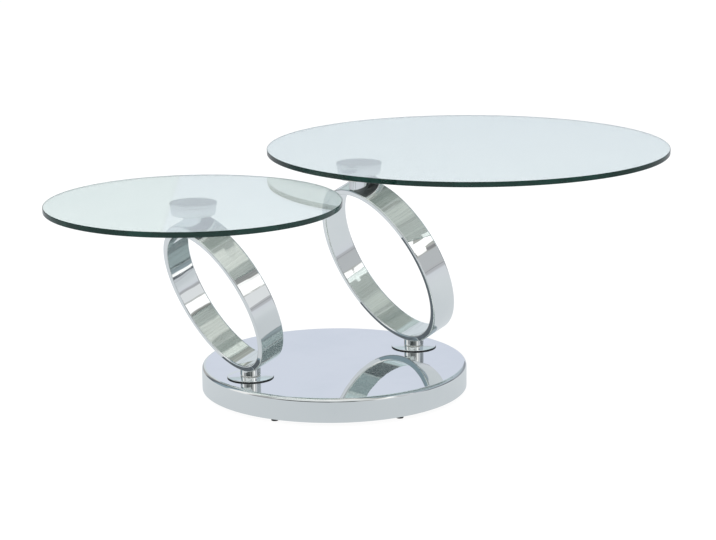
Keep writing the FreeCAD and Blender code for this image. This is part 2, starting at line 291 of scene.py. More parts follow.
def makeGlass():
    material, tree, shader, output = newMaterial("floatGlass")
    wear = placeMarks(tree, *glassLook["marks"])
    colour = blendColour(tree, (-300, 200), wear.outputs["Smudge"], glassLook["face"], glassLook["smudged"])
    tree.links.new(colour, shader.inputs["Base Color"])
    shader.inputs["Roughness"].default_value = 0.0
    shader.inputs["Metallic"].default_value = 0.0
    shader.inputs["Transmission Weight"].default_value = glassLook["clear"]
    shader.inputs["IOR"].default_value = glassLook["ior"]
    body = addNode(tree, "ShaderNodeVolumeAbsorption", (600, -400), {
        "Color": glassLook["body"], "Density": glassLook["bodyDensity"]})
    tree.links.new(body.outputs[0], output.inputs["Volume"])
    return material


def makeGlassRim():
    material, tree, shader, _ = newMaterial("glassRim")
    wear = placeMarks(tree, *glassLook["rimMarks"])
    outside = blendColour(tree, (-300, 200), wear.outputs["Smudge"], glassLook["rim"], glassLook["rimWorn"])
    facing = addNode(tree, "ShaderNodeNewGeometry", (-300, 450))
    colour = blendColour(tree, (0, 300), facing.outputs["Backfacing"], outside, glassLook["rimInside"])
    tree.links.new(colour, shader.inputs["Base Color"])
    sheen = mapRange(tree, wear.outputs["Hairline"], (-300, 0), 0.0, 1.0, *glassLook["rimRoughness"])
    tree.links.new(sheen, shader.inputs["Roughness"])
    shader.inputs["Metallic"].default_value = 0.0
    shader.inputs["Transmission Weight"].default_value = glassLook["rimTransmission"]
    shader.inputs["Specular IOR Level"].default_value = glassLook["rimSpecular"]
    shader.inputs["IOR"].default_value = glassLook["ior"]
    return material


sheetSteel = makePolishedSteel("sheetSteel", polish["sheetSwell"])
bandSteel = makePolishedSteel("bandSteel", polish["bandSwell"])
floatGlass = makeGlass()
glassRim = makeGlassRim()
zincSteel = makeCloudedFinish(
    "zincSteel", (0.62, 0.63, 0.64), (0.5, 0.52, 0.55), 60.0, (0.22, 0.38),
    {"scale": 300.0, "depth": 0.00002}, metallic=1.0)
blackPlastic = makeCloudedFinish(
    "blackPlastic", (0.012, 0.012, 0.013), (0.02, 0.02, 0.022), 40.0, (0.42, 0.6),
    {"scale": 900.0, "depth": 0.00005})
blackPaint = makeCloudedFinish(
    "blackPaint", (0.015, 0.015, 0.016), (0.025, 0.024, 0.024), 12.0, (0.38, 0.5),
    {"scale": 500.0, "depth": 0.00006})
nylon = makeCloudedFinish(
    "nylon", (0.78, 0.78, 0.74), (0.7, 0.7, 0.66), 50.0, (0.35, 0.5),
    {"scale": 400.0, "depth": 0.00002})
# painted shade: a dark finish for the shade under each hub cup
paintedShadeSteel = makeCloudedFinish(
    "paintedShadeSteel", (0.2, 0.21, 0.21), (0.28, 0.29, 0.28), 50.0, (0.4, 0.55),
    {"scale": 300.0, "depth": 0.00004}, metallic=0.4)
# painted shade: a near black finish for the shade in the contact line under each flange
paintedShadeEdge = makeCloudedFinish(
    "paintedShadeEdge", (0.03, 0.032, 0.035), (0.06, 0.062, 0.066), 60.0, (0.35, 0.5),
    {"scale": 400.0, "depth": 0.00003}, metallic=0.6)
fibreBoard = makeCloudedFinish(
    "fibreBoard", (0.36, 0.25, 0.15), (0.27, 0.18, 0.1), 70.0, (0.7, 0.85),
    {"scale": 260.0, "depth": 0.0002}, stretch=5.0)
curedAdhesive = makeCloudedFinish(
    "curedAdhesive", (0.89, 0.84, 0.82), (0.84, 0.79, 0.78), 45.0, (0.12, 0.18),
    {"scale": 200.0, "depth": 0.00001}, metallic=0.9)
print("finishes made")


# ---- shaping helpers

nearness = 0.00001      # metres within which an edge counts as lying on a named circle
mergeDistance = 0.000001
creaseAngle = math.radians(25)


def latheSection(points, steps, closed=True):
    mesh = bmesh.new()
    corners = [mesh.verts.new((r, 0, z)) for r, z in points]
    pairs = list(zip(corners, corners[1:]))
    if closed:
        pairs.append((corners[-1], corners[0]))
    edges = [mesh.edges.new(pair) for pair in pairs]
    bmesh.ops.spin(mesh, geom=corners + edges, cent=(0, 0, 0), axis=(0, 0, 1), angle=math.tau,
                   steps=steps, use_merge=True, use_duplicate=False)
    bmesh.ops.remove_doubles(mesh, verts=mesh.verts, dist=mergeDistance)
    onAxis = [edge for edge in mesh.edges if not edge.link_faces]
    bmesh.ops.delete(mesh, geom=onAxis, context="EDGES")
    bmesh.ops.recalc_face_normals(mesh, faces=mesh.faces)
    return mesh


# rounds each circular edge named by its radius and height
def roundRims(mesh, rims):
    for radius, height, width, segments in rims:
        edges = []
        for edge in mesh.edges:
            if all(abs(vert.co.z - height) < nearness and abs(vert.co.xy.length - radius) < nearness
                   for vert in edge.verts):
                edges.append(edge)
        made = bmesh.ops.bevel(mesh, geom=edges, offset=width, offset_type="OFFSET", segments=segments,
                               profile=0.5, affect="EDGES", material=-1, clamp_overlap=True)
        rounded = set(made["faces"])
        for face in rounded:
            for edge in face.edges:
                if any(other not in rounded for other in edge.link_faces):
                    edge.smooth = False     # the flats beside a rounding stay flat in a mirror


def shiftMesh(mesh, offset):
    bmesh.ops.translate(mesh, vec=offset, verts=mesh.verts)


def finishPiece(name, mesh, material, body, node):
    for edge in mesh.edges:
        if edge.calc_face_angle(0.0) > creaseAngle:
            edge.smooth = False
    data = bpy.data.meshes.new(name)
    mesh.to_mesh(data)
    mesh.free()
    piece = bpy.data.objects.new(name, data)
    scene.collection.objects.link(piece)
    data.materials.append(material)
    for polygon in data.polygons:
        polygon.use_smooth = True
    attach(piece, body)
    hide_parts(node)
    return piece


# ---- base

base = {
    "radius": 0.2555,
    "sheet": 0.0015,
    "edge": 0.007,
    "edgeSegments": 8,
    "innerSegments": 3,
    "steps": 256,
}


def makeBaseCover():
    low, high = levels("base_shell")
    inner = base["radius"] - base["sheet"]
    mesh = latheSection([
        (0, high), (base["radius"], high), (base["radius"], low),
        (inner, low), (inner, high - base["sheet"]), (0, high - base["sheet"]),
    ], base["steps"], closed=False)
    roundRims(mesh, [
        (base["radius"], high, base["edge"], base["edgeSegments"]),
        (inner, high - base["sheet"], base["edge"] - base["sheet"], base["innerSegments"]),
    ])
    finishPiece("baseCover", mesh, sheetSteel, "base", "base_shell")


feet = {
    "count": 6,
    "firstAngle": 28.5,
    "circle": 0.2305,
    "radius": 0.007,
    "taper": 0.001,
    "padHeight": 0.0055,
    "gripAcross": 0.01,
    "soleRounding": 0.001,
    "topRounding": 0.0012,
    "roundingSegments": 3,
    "steps": 40,
}


def makeFootPads():
    low, high = levels("foot_pads")
    shoulder = low + feet["padHeight"]
    narrow = feet["radius"] - feet["taper"]
    gripRadius = feet["gripAcross"] / math.sqrt(3)      # from a hexagon's flats to its corners
    mesh = bmesh.new()
    for k in range(feet["count"]):
        angle = math.radians(feet["firstAngle"] + k * 360 / feet["count"])
        pad = latheSection([(0, low), (feet["radius"], low), (narrow, shoulder), (0, shoulder)],
                           feet["steps"], closed=False)
        roundRims(pad, [(feet["radius"], low, feet["soleRounding"], feet["roundingSegments"]),
                        (narrow, shoulder, feet["topRounding"], feet["roundingSegments"])])
        grip = bmesh.ops.create_cone(pad, cap_ends=True, segments=6, radius1=gripRadius, radius2=gripRadius,
                                     depth=high - shoulder)
        bmesh.ops.translate(pad, vec=(0, 0, (high + shoulder) / 2), verts=grip["verts"])
        shiftMesh(pad, (feet["circle"] * math.cos(angle), feet["circle"] * math.sin(angle), 0))
        part = bpy.data.meshes.new("footPart")
        pad.to_mesh(part)
        pad.free()
        mesh.from_mesh(part)
        bpy.data.meshes.remove(part)
    finishPiece("footPads", mesh, blackPlastic, "base", "foot_pads")


makeBaseCover()
makeFootPads()
print("base made")


# ---- each tier: flange, post, ring, neck, hub and glass

flange = {
    "radius": 0.044,
    "seatRadius": 0.02125,
    "shoulderRadius": 0.033,
    "shoulderDrop": 0.0005,
    "shoulderRounding": 0.0095,
    "shoulderSegments": 10,
    "rim": 0.0023,
    "edge": 0.0008,
    "edgeSegments": 6,
    # how far in from the rim the painted shade band reaches
    "paintedShadeDepth": 0.0003,
    "bore": 0.0091,
    "steps": 160,
}


def makeFlange(tier):
    low, high = levels(tier + "_flange")
    rim = low + flange["rim"]
    shoulder = high - flange["shoulderDrop"]
    mesh = latheSection([(flange["bore"], low), (flange["radius"], low), (flange["radius"], rim),
                         (flange["shoulderRadius"], shoulder), (flange["seatRadius"], high),
                         (flange["bore"], high)], flange["steps"])
    roundRims(mesh, [
        (flange["shoulderRadius"], shoulder, flange["shoulderRounding"], flange["shoulderSegments"]),
        (flange["radius"], rim, flange["edge"], flange["edgeSegments"]),
    ])
    for face in mesh.faces:
        centre = face.calc_center_median()
        outermost = centre.xy.length > flange["radius"] - flange["paintedShadeDepth"]
        if outermost and centre.z < rim - flange["edge"] / 2:
            face.material_index = 1     # painted shade: the lowest band of the rim is coloured near black for the dark contact line under the flange
    shiftMesh(mesh, (middle(tier + "_flange").x, 0, 0))
    plate = finishPiece(tier + "Flange", mesh, sheetSteel, "base", tier + "_flange")
    plate.data.materials.append(paintedShadeEdge)


ring = {
    "lean": 22.0,
    "width": 0.052,
    "wall": 0.012,
    "edge": 0.0025,
    "edgeSegments": 6,
    "steps": 320,
}
leanTilt = Matrix.Rotation(math.radians(90 - ring["lean"]), 3, "Y")


def makeRing(tier):
    radius = halfWidth(tier + "_ring", 1)     # the ring leans about Y, so only this width is its diameter
    inner = radius - ring["wall"]
    half = ring["width"] / 2
    mesh = latheSection([(inner, -half), (radius, -half), (radius, half), (inner, half)], ring["steps"])
    roundRims(mesh, [(r, z, ring["edge"], ring["edgeSegments"])
                     for r in (inner, radius) for z in (-half, half)])
    bmesh.ops.rotate(mesh, cent=(0, 0, 0), matrix=leanTilt, verts=mesh.verts)
    shiftMesh(mesh, middle(tier + "_ring"))
    finishPiece(tier + "Ring", mesh, bandSteel, tier + "_ring", tier + "_ring")


post = {
    "radius": 0.01925,
    "wall": 0.003,
    "neckBore": 0.0127,
    "edge": 0.0008,
    "edgeSegments": 3,
    "blank": 0.05,      # length before the saddle is cut
    "steps": 96,
}


# a tube whose far end is cut along the ring's leaning face, halfway into the band
def makeSaddledTube(name, tier, node, contact, bore, upward):
    x = middle(node).x
    low, high = levels(node)
    start = low if upward else high
    end = start + post["blank"] * (1 if upward else -1)
    outer = post["radius"]
    mesh = latheSection([(bore, start), (outer, start), (outer, end), (bore, end)], post["steps"])
    roundRims(mesh, [(outer, start, post["edge"], post["edgeSegments"])])
    shiftMesh(mesh, (x, 0, 0))
    tilt = math.radians(ring["lean"])
    normal = Vector((-math.sin(tilt), 0, math.cos(tilt)))
    sunk = Vector((x, 0, contact)) + normal * (ring["wall"] / 2 * (1 if upward else -1))
    cut = bmesh.ops.bisect_plane(mesh, geom=mesh.verts[:] + mesh.edges[:] + mesh.faces[:],
                                 plane_co=sunk, plane_no=normal, clear_outer=upward, clear_inner=not upward)
    rim = [item for item in cut["geom_cut"] if isinstance(item, bmesh.types.BMEdge)]
    bmesh.ops.bridge_loops(mesh, edges=rim)
    bmesh.ops.recalc_face_normals(mesh, faces=mesh.faces)
    finishPiece(name, mesh, bandSteel, tier + "_ring", node)


cup = {
    "topRadius": 0.0415,
    "bottomRadius": 0.038,
    "rim": 0.005,
    "edge": 0.0008,
    "edgeSegments": 3,
    "bore": 0.0127,
    "sweepStep": 10,        # degrees between the points of the curved side
    "undersideNormal": -0.9,        # faces that look further down than this are the underside, which gets the painted shade
    "steps": 160,
}


def makeHubCup(tier, turnedSteel):
    low, high = levels(tier + "_hub_cup")
    shoulder = high - cup["rim"]
    rise = shoulder - low
    spread = cup["topRadius"] - cup["bottomRadius"]
    sweep = [(cup["bottomRadius"] + spread * math.sin(math.radians(a)),
              shoulder - rise * math.cos(math.radians(a))) for a in range(0, 90, cup["sweepStep"])]
    mesh = latheSection([(cup["bore"], low)] + sweep + [
        (cup["topRadius"], shoulder), (cup["topRadius"], high), (cup["bore"], high)], cup["steps"])
    roundRims(mesh, [(cup["topRadius"], high, cup["edge"], cup["edgeSegments"])])
    for face in mesh.faces:
        if face.normal.z < cup["undersideNormal"]:
            face.material_index = 1     # the underside is left rough, and its dark colour is painted shade under the cup
    shiftMesh(mesh, (middle(tier + "_hub_cup").x, 0, 0))
    hub = finishPiece(tier + "HubCup", mesh, turnedSteel, tier + "_ring", tier + "_hub_cup")
    hub.data.materials.append(paintedShadeSteel)


disc = {
    "radius": 0.0435,
    "edge": 0.0006,
    "spigotRadius": 0.01,
    "spigotEdge": 0.001,
    "edgeSegments": 2,
    "steps": 160,
}


def makeMountDisc(tier, turnedSteel):
    low, high = levels(tier + "_mount_disc")
    under = levels(tier + "_slip_ring")[1]
    mesh = latheSection([
        (0, low), (disc["spigotRadius"], low), (disc["spigotRadius"], under),
        (disc["radius"], under), (disc["radius"], high), (0, high),
    ], disc["steps"], closed=False)
    roundRims(mesh, [
        (disc["radius"], under, disc["edge"], disc["edgeSegments"]),
        (disc["radius"], high, disc["edge"], disc["edgeSegments"]),
        (disc["spigotRadius"], low, disc["spigotEdge"], disc["edgeSegments"]),
    ])
    shiftMesh(mesh, (middle(tier + "_mount_disc").x, 0, 0))
    finishPiece(tier + "MountDisc", mesh, turnedSteel, tier + "_top", tier + "_mount_disc")


glass = {
    "arris": 0.001,
    "faceNormal": 0.9,      # steeper faces than this belong to the rim
    "steps": 384,
}


def makeGlassTop(tier):
    radius = halfWidth(tier + "_glass_top", 0)
    low, high = levels(tier + "_glass_top")
    mesh = latheSection([(0, low), (radius, low), (radius, high), (0, high)], glass["steps"], closed=False)
    roundRims(mesh, [(radius, low, glass["arris"], 1), (radius, high, glass["arris"], 1)])
    for face in mesh.faces:
        if abs(face.normal.z) < glass["faceNormal"]:
            face.material_index = 1     # the ground and polished rim
    place = middle(tier + "_glass_top")
    shiftMesh(mesh, (place.x, place.y, 0))
    top = finishPiece(tier + "GlassTop", mesh, floatGlass, tier + "_top", tier + "_glass_top")
    top.data.materials.append(glassRim)


film = {
    "wetting": 0.0001,
    "edge": 0.0002,
    "edgeSegments": 2,
    "steps": 128,
}


# the cured film wets the glass, so it reaches a hair into the sheet and no air shows between them
def makeBondFilm(tier):
    radius = halfWidth(tier + "_bond_film", 0)
    low, high = levels(tier + "_bond_film")
    top = high + film["wetting"]
    mesh = latheSection([(0, low), (radius, low), (radius, top), (0, top)], film["steps"], closed=False)
    roundRims(mesh, [(radius, top, film["edge"], film["edgeSegments"])])
    shiftMesh(mesh, (middle(tier + "_bond_film").x, 0, 0))
    finishPiece(tier + "BondFilm", mesh, curedAdhesive, tier + "_top", tier + "_bond_film")


for tier in ("small", "large"):
    centre = middle(tier + "_ring").z
    crown = halfWidth(tier + "_ring", 1) * math.cos(math.radians(ring["lean"]))     # above the centre
    turnedSteel = makeTurnedSteel(tier + "TurnedSteel", middle(tier + "_hub_cup"))
    makeFlange(tier)
    makeRing(tier)
    makeSaddledTube(tier + "Post", tier, tier + "_foot_post", centre - crown,
                    post["radius"] - post["wall"], True)
    makeSaddledTube(tier + "Neck", tier, tier + "_neck", centre + crown, post["neckBore"], False)
    makeHubCup(tier, turnedSteel)
    makeMountDisc(tier, turnedSteel)
    makeBondFilm(tier)
    makeGlassTop(tier)
print("tiers made")


# ---- finishes of the nodes that stay

slotFinish = {
    "zinc_steel": zincSteel,
    "core_board": fibreBoard,
    "ballast_steel": blackPaint,
    "bearing_plastic": nylon,
}
for part in frame["record"]["subparts"]:
    finish = slotFinish.get(part["material_slot"])
    if finish:
        node = frame["nodes"][part["node"]]
        for slot in node.material_slots:
            slot.material = finish
print("node finishes set")


# ---- studio: floor, world, lamps

studio = {
    "floorRadius": 40.0,
    "floorSegments": 64,
    "floorMiddle": (-0.2, -0.35, 0.0),
    "floorInMetal": [       # metres out from that middle, and the colour there
        (0.0, (0.59, 0.63, 0.66)), (0.4, (0.63, 0.67, 0.7)), (0.7, (0.69, 0.73, 0.76)),
        (1.1, (0.7, 0.73, 0.77)), (1.9, (0.68, 0.71, 0.76)), (2.6, (0.5, 0.51, 0.54)),
        (4.2, (0.48, 0.49, 0.52)), (5.0, (0.3, 0.31, 0.33)), (6.5, (0.5, 0.51, 0.53)),
    ],
    "floorReach": 10.0,
    "shadowShare": 0.15,
    "paper": (0.9, 0.9, 0.9, 1.0),
    "paperGlow": 1.13,
}
noBounce = 0.5      # a ray's bounce count is whole, so a count under this is none


# true for what the eye sees without a mirror, straight or through the glass
def seenDirectly(tree, place):
    ray = addNode(tree, "ShaderNodeLightPath", place)
    x, y = place
    unreflected = mathNode(tree, "LESS_THAN", (x + 200, y - 200), ray.outputs["Glossy Depth"], noBounce)
    undiffused = mathNode(tree, "LESS_THAN", (x + 200, y - 360), ray.outputs["Diffuse Depth"], noBounce)
    clear = mathNode(tree, "MULTIPLY", (x + 400, y - 260), unreflected, undiffused)
    through = mathNode(tree, "MULTIPLY", (x + 600, y - 160), clear, ray.outputs["Is Transmission Ray"])
    return ray, mathNode(tree, "MAXIMUM", (x + 800, y), ray.outputs["Is Camera Ray"], through)


def makeFloor():
    mesh = bmesh.new()
    bmesh.ops.create_circle(mesh, cap_ends=True, segments=studio["floorSegments"],
                            radius=studio["floorRadius"])
    data = bpy.data.meshes.new("floor")
    mesh.to_mesh(data)
    mesh.free()
    floor = bpy.data.objects.new("floor", data)
    scene.collection.objects.link(floor)
    material = bpy.data.materials.new("studioFloor")
    tree = emptyTree(material)
    output = addNode(tree, "ShaderNodeOutputMaterial", (1200, 0))
    ray, direct = seenDirectly(tree, (-900, 0))
    paper = addNode(tree, "ShaderNodeBsdfDiffuse", (200, 200), {"Color": studio["paper"]})
    white = addNode(tree, "ShaderNodeEmission", (200, 50), {
        "Color": (1, 1, 1, 1), "Strength": studio["paperGlow"]})
    spot = addNode(tree, "ShaderNodeTexCoord", (-700, -500))
    moved = addNode(tree, "ShaderNodeVectorMath", (-600, -500), {1: studio["floorMiddle"]},
                    operation="SUBTRACT")
    tree.links.new(spot.outputs["Object"], moved.inputs[0])
    out = addNode(tree, "ShaderNodeVectorMath", (-500, -500), operation="LENGTH")
    tree.links.new(moved.outputs[0], out.inputs[0])
    reach = mapRange(tree, out.outputs["Value"], (-300, -500), 0.0, studio["floorReach"], 0.0, 1.0)
    fade = colourRamp(tree, reach, (-100, -500), [
        (distance / studio["floorReach"], colour) for distance, colour in studio["floorInMetal"]])
    tinted = addNode(tree, "ShaderNodeEmission", (200, -100), {"Strength": 1.0})
    tree.links.new(fade, tinted.inputs["Color"])
    shaded = addNode(tree, "ShaderNodeMixShader", (450, 150), {0: 1 - studio["shadowShare"]})
    tree.links.new(paper.outputs[0], shaded.inputs[1])
    tree.links.new(white.outputs[0], shaded.inputs[2])
    inMetal = addNode(tree, "ShaderNodeMixShader", (700, -50))
    tree.links.new(ray.outputs["Is Glossy Ray"], inMetal.inputs[0])
    tree.links.new(paper.outputs[0], inMetal.inputs[1])
    tree.links.new(tinted.outputs[0], inMetal.inputs[2])
    shown = addNode(tree, "ShaderNodeMixShader", (950, 0))
    tree.links.new(direct, shown.inputs[0])
    tree.links.new(inMetal.outputs[0], shown.inputs[1])
    tree.links.new(shaded.outputs[0], shown.inputs[2])
    tree.links.new(shown.outputs[0], output.inputs["Surface"])
    data.materials.append(material)


# The room that the steel mirrors. A ring's normals are square to its axis, so a mirrored direction keeps
# the share along that axis that the sight line has, and each band shows only a narrow lane of the room.
# A lane is a range of that share.
lanes = {
    "rear": (-2.0, 0.28),
    "smallInner": (0.28, 0.3563),
    "smallOuter": (0.3563, 0.392),
    "largeInner": (0.392, 0.4285),
    "largeOuter": (0.4285, 0.5),
    "baseTop": (0.5, 0.74),
    "flangeTop": (0.5, 0.575),
    "sides": (0.74, 2.0),
}
# each panel: its side (1 for +Y, -1 for -Y, 0 for both), first and last lane, height and soft edge in degrees
panels = {
    "haze": {"side": 1, "lanes": ("smallInner", "largeOuter"),
             "height": (-9, 39), "soft": 1.5, "colour": (0.68, 0.74, 0.785)},
    "dusk": {"side": 1, "lanes": ("smallInner", "largeOuter"),
             "height": (40.5, 99), "soft": 1.5, "colour": (0.345, 0.37, 0.345)},
    "earlyDusk": {"side": 1, "lanes": ("smallInner", "smallInner"),
                  "height": (40.5, 46), "soft": 1.5, "colour": (0.41, 0.44, 0.41)},
    "lateHaze": {"side": 1, "lanes": ("largeInner", "largeInner"),
                 "height": (38, 49), "soft": 1.5, "colour": (0.58, 0.65, 0.67)},
    "frostedWindow": {"side": 1, "lanes": ("smallInner", "smallInner"),
                      "height": (57, 73), "soft": 3, "colour": (0.97, 0.98, 0.94)},
    "tealFlat": {"side": 1, "lanes": ("smallOuter", "smallOuter"),
                 "height": (40, 66.5), "soft": 1.5, "colour": (0.023, 0.055, 0.045)},
    "darkFlat": {"side": 1, "lanes": ("largeOuter", "largeOuter"),
                 "height": (44, 66), "soft": 2.5, "colour": (0.05, 0.062, 0.057)},
    "dimCorner": {"side": 1, "lanes": ("largeInner", "largeOuter"),
                  "height": (70, 80), "soft": 2, "colour": (0.25, 0.28, 0.26)},
    "roomBehind": {"side": -1, "lanes": ("smallInner", "largeOuter"),
                   "height": (-9, 99), "soft": 1, "colour": (0.44, 0.45, 0.43)},
    "lowSheet": {"side": -1, "lanes": ("smallInner", "smallOuter"),
                 "height": (-9, 13.5), "soft": 1, "colour": (0.8, 0.82, 0.84)},
    "lowScreen": {"side": -1, "lanes": ("largeInner", "largeOuter"),
                  "height": (-9, 16), "soft": 1, "colour": (0.51, 0.53, 0.55)},
    "stripSmall": {"side": -1, "lanes": ("smallInner", "smallInner"),
                   "height": (14.5, 29.4), "soft": 0.6, "colour": (1.25, 1.25, 1.25)},
    "stripSmallOuter": {"side": -1, "lanes": ("smallOuter", "smallOuter"),
                        "height": (14.5, 30.5), "soft": 0.6, "colour": (1.25, 1.25, 1.25)},
    "stripInner": {"side": -1, "lanes": ("largeInner", "largeInner"),
                   "height": (17.6, 31.5), "soft": 0.6, "colour": (1.25, 1.25, 1.25)},
    "stripOuter": {"side": -1, "lanes": ("largeOuter", "largeOuter"),
                   "height": (23.6, 36.4), "soft": 0.6, "colour": (1.25, 1.25, 1.25)},
    "frameSmall": {"side": -1, "lanes": ("smallInner", "smallInner"),
                   "height": (30.4, 34.6), "soft": 0.8, "colour": (0.25, 0.26, 0.25)},
    "frameOuter": {"side": -1, "lanes": ("smallOuter", "smallOuter"),
                   "height": (31.8, 39.5), "soft": 1.5, "colour": (0.3, 0.31, 0.31)},
    "frameLarge": {"side": -1, "lanes": ("largeOuter", "largeOuter"),
                   "height": (17.5, 20.5), "soft": 0.8, "colour": (0.28, 0.28, 0.29)},
    "highBox": {"side": -1, "lanes": ("smallInner", "smallInner"),
                "height": (51, 78.5), "soft": 2.5, "colour": (0.83, 0.815, 0.78)},
    "highBoxOuter": {"side": -1, "lanes": ("smallOuter", "smallOuter"),
                     "height": (52, 83), "soft": 2.5, "colour": (0.92, 0.9, 0.86)},
    "midScreen": {"side": -1, "lanes": ("largeOuter", "largeOuter"),
                  "height": (44, 55), "soft": 2, "colour": (0.51, 0.52, 0.5)},
    "highScreen": {"side": -1, "lanes": ("largeInner", "largeOuter"),
                   "height": (61, 82), "soft": 3, "colour": (0.64, 0.65, 0.62)},
    "paleWall": {"side": 1, "lanes": ("baseTop", "baseTop"),
                 "height": (-9, 19), "soft": 0.7, "colour": (0.69, 0.735, 0.84)},
    "overWall": {"side": 1, "lanes": ("baseTop", "baseTop"),
                 "height": (19, 48), "soft": 2, "colour": (0.6, 0.7, 0.75)},
    "tealCeiling": {"side": 1, "lanes": ("baseTop", "baseTop"),
                    "height": (49, 99), "soft": 3, "colour": (0.02, 0.038, 0.05)},
    "ceilingBox": {"side": 1, "lanes": ("flangeTop", "flangeTop"),
                   "height": (60, 99), "soft": 3, "colour": (1.1, 1.1, 1.1)},
    "cornerBehind": {"side": -1, "lanes": ("baseTop", "baseTop"),
                     "height": (-9, 37), "soft": 2, "colour": (0.43, 0.48, 0.52)},
    "cornerLow": {"side": -1, "lanes": ("baseTop", "baseTop"),
                  "height": (-9, 24), "soft": 1, "colour": (0.64, 0.66, 0.7)},
    "cornerStroke": {"side": -1, "lanes": ("baseTop", "baseTop"),
                     "height": (24, 27), "soft": 0.6, "colour": (0.12, 0.13, 0.15)},
    "cornerSliver": {"side": -1, "lanes": ("baseTop", "baseTop"),
                     "height": (27, 31.5), "soft": 0.6, "colour": (1.2, 1.2, 1.2)},
    "cornerBox": {"side": -1, "lanes": ("baseTop", "baseTop"),
                  "height": (38, 51), "soft": 2, "colour": (0.58, 0.66, 0.7)},
    "tealCorner": {"side": -1, "lanes": ("baseTop", "baseTop"),
                   "height": (52, 99), "soft": 3, "colour": (0.26, 0.33, 0.36)},
    "sideScreen": {"side": 0, "lanes": ("sides", "sides"),
                   "height": (-9, 17), "soft": 2, "colour": (0.33, 0.36, 0.4)},
    "sideCurtain": {"side": -1, "lanes": ("sides", "sides"),
                    "height": (-9, 17), "soft": 2, "colour": (0.2, 0.22, 0.24)},
    "sideHaze": {"side": 0, "lanes": ("sides", "sides"),
                 "height": (17, 34), "soft": 2, "colour": (0.45, 0.52, 0.58)},
    "bluePlate": {"side": 0, "lanes": ("sides", "sides"),
                  "height": (35, 99), "soft": 2, "colour": (0.13, 0.17, 0.19)},
    "bluePlateBehind": {"side": -1, "lanes": ("sides", "sides"),
                        "height": (30, 99), "soft": 2, "colour": (0.32, 0.38, 0.41)},
    "rearBox": {"side": -1, "lanes": ("rear", "rear"),
                "height": (18, 48), "soft": 1.5, "colour": (0.75, 0.78, 0.79)},
}
laneSoftness = 0.0012
# the rest of the room, in degrees clockwise from +Y: tall soft boxes between greyer walls, over a skirting
walls = [
    (0, (0.45, 0.45, 0.45)), (160, (0.6, 0.6, 0.6)), (168, (0.9, 0.9, 0.9)),
    (176, (0.9, 0.9, 0.9)), (184, (0.5, 0.51, 0.51)), (262, (0.45, 0.46, 0.46)),
    (286, (0.45, 0.46, 0.46)), (294, (0.95, 0.95, 0.95)), (312, (0.95, 0.95, 0.95)),
    (318, (0.28, 0.37, 0.42)), (334, (0.26, 0.34, 0.39)), (340, (0.14, 0.16, 0.18)),
    (352, (0.14, 0.16, 0.18)), (358, (0.45, 0.45, 0.45)),
]
skirting = [
    (0, (0.45, 0.45, 0.45)), (160, (0.6, 0.6, 0.6)), (168, (0.9, 0.9, 0.9)),
    (176, (0.9, 0.9, 0.9)), (181, (0.45, 0.46, 0.46)), (192, (0.4, 0.41, 0.41)),
    (197, (0.07, 0.08, 0.08)), (207, (0.1, 0.11, 0.11)), (212, (0.28, 0.3, 0.3)),
    (218, (0.07, 0.08, 0.08)), (256, (0.07, 0.08, 0.08)), (263, (0.33, 0.34, 0.35)),
    (286, (0.33, 0.34, 0.35)), (294, (0.95, 0.95, 0.95)), (312, (0.95, 0.95, 0.95)),
    (318, (0.28, 0.37, 0.42)), (334, (0.26, 0.34, 0.39)), (340, (0.14, 0.16, 0.18)),
    (352, (0.14, 0.16, 0.18)), (358, (0.45, 0.45, 0.45)),
]
roomLook = {
    "skirtingTop": 17.0,
    "skirtingSoft": 1.0,
    "overhead": (45.0, 56.0),       # the walls fade to a white ceiling between these heights
    "ceiling": (1.0, 1.0, 1.0, 1.0),
    "sideSoft": 0.04,
    "ragged": {"Scale": 26.0, "Detail": 3.0, "Roughness": 0.6},
    "raggedBy": 1.2,        # degrees that a level edge wanders up and down
    "streaks": {"Scale": 1.0, "Detail": 2.0, "Roughness": 0.6},
    "streakScales": {"X": 5.0, "Y": 0.61, "Z": 12.0},
    "streakStrength": (0.78, 1.2),
    "streaksFrom": (18.0, 21.6),
    "noiseRange": (0.3, 0.7),
}


def betweenEdges(tree, place, value, low, high, soft):
    x, y = place
    rising = mapRange(tree, value, place, low - soft, low + soft, 0.0, 1.0, smooth=True)
    falling = mapRange(tree, value, (x, y - 250), high - soft, high + soft, 1.0, 0.0, smooth=True)
    return mathNode(tree, "MULTIPLY", (x + 200, y), rising, falling)


